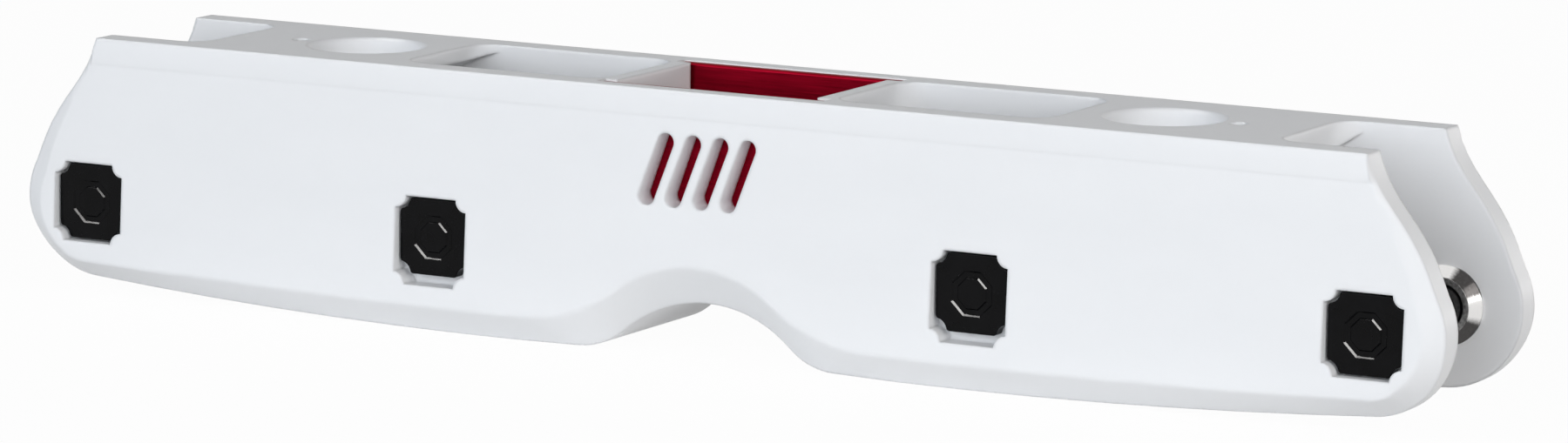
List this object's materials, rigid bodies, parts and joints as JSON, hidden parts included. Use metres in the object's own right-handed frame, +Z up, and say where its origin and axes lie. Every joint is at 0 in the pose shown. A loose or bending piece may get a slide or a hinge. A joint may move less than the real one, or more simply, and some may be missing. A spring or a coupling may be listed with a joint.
{
  "type": "aggressive inline skate frame",
  "caption": "Aggressive inline skate frame: white moulded body with a grind arch, red core plates, notched-head barrel axles and steel bushings.",
  "frame": {"origin": "below the middle of the frame, at the height of the belly's lowest edge", "axes": "+X along the row of axles, +Y towards the screw side, +Z up towards the boot"},
  "size_m": [0.2908, 0.0446, 0.0491],
  "materials": {
    "white_plastic": "satin moulded white",
    "red_aluminium": "deep red anodised",
    "black_steel": "gloss black",
    "screw_steel": "satin steel",
    "polished_steel": "polished"
  },
  "bodies": {
    "frame": {"frame_body": "white_plastic", "core_plate_head_side": "red_aluminium", "core_plate_screw_side": "red_aluminium", "bushing_1_head_side": "polished_steel", "bushing_1_screw_side": "polished_steel", "bushing_2_head_side": "polished_steel", "bushing_2_screw_side": "polished_steel", "bushing_3_head_side": "polished_steel", "bushing_3_screw_side": "polished_steel", "bushing_4_head_side": "polished_steel", "bushing_4_screw_side": "polished_steel"},
    "axle_1_body": {"axle_1": "black_steel"},
    "washer_1_body": {"axle_washer_1": "black_steel"},
    "screw_1_body": {"axle_screw_1": "screw_steel"},
    "axle_2_body": {"axle_2": "black_steel"},
    "washer_2_body": {"axle_washer_2": "black_steel"},
    "screw_2_body": {"axle_screw_2": "screw_steel"},
    "axle_3_body": {"axle_3": "black_steel"},
    "washer_3_body": {"axle_washer_3": "black_steel"},
    "screw_3_body": {"axle_screw_3": "screw_steel"},
    "axle_4_body": {"axle_4": "black_steel"},
    "washer_4_body": {"axle_washer_4": "black_steel"},
    "screw_4_body": {"axle_screw_4": "screw_steel"}
  },
  "joints": [
    {"name": "axle_1_pull", "type": "slide", "parent": "frame", "child": "axle_1_body", "axis": [0, -1, 0], "range_m": [0, 0.045]},
    {"name": "washer_1_slide", "type": "slide", "parent": "frame", "child": "washer_1_body", "axis": [0, 1, 0], "range_m": [0, 0.01]},
    {"name": "screw_1_turn", "type": "hinge", "parent": "washer_1_body", "child": "screw_1_body", "pos_m": [-0.1308, 0, 0.0179], "axis": [0, 1, 0], "range_deg": [0, 3600]},
    {"name": "axle_2_pull", "type": "slide", "parent": "frame", "child": "axle_2_body", "axis": [0, -1, 0], "range_m": [0, 0.045]},
    {"name": "washer_2_slide", "type": "slide", "parent": "frame", "child": "washer_2_body", "axis": [0, 1, 0], "range_m": [0, 0.01]},
    {"name": "screw_2_turn", "type": "hinge", "parent": "washer_2_body", "child": "screw_2_body", "pos_m": [-0.0554, 0, 0.0179], "axis": [0, 1, 0], "range_deg": [0, 3600]},
    {"name": "axle_3_pull", "type": "slide", "parent": "frame", "child": "axle_3_body", "axis": [0, -1, 0], "range_m": [0, 0.045]},
    {"name": "washer_3_slide", "type": "slide", "parent": "frame", "child": "washer_3_body", "axis": [0, 1, 0], "range_m": [0, 0.01]},
    {"name": "screw_3_turn", "type": "hinge", "parent": "washer_3_body", "child": "screw_3_body", "pos_m": [0.0554, 0, 0.0179], "axis": [0, 1, 0], "range_deg": [0, 3600]},
    {"name": "axle_4_pull", "type": "slide", "parent": "frame", "child": "axle_4_body", "axis": [0, -1, 0], "range_m": [0, 0.045]},
    {"name": "washer_4_slide", "type": "slide", "parent": "frame", "child": "washer_4_body", "axis": [0, 1, 0], "range_m": [0, 0.01]},
    {"name": "screw_4_turn", "type": "hinge", "parent": "washer_4_body", "child": "screw_4_body", "pos_m": [0.1308, 0, 0.0179], "axis": [0, 1, 0], "range_deg": [0, 3600]}
  ],
  "couplings": [
    {"joint": "screw_1_turn", "follows": "washer_1_slide", "rad_per_m": 6283.2},
    {"joint": "screw_2_turn", "follows": "washer_2_slide", "rad_per_m": 6283.2},
    {"joint": "screw_3_turn", "follows": "washer_3_slide", "rad_per_m": 6283.2},
    {"joint": "screw_4_turn", "follows": "washer_4_slide", "rad_per_m": 6283.2}
  ]
}
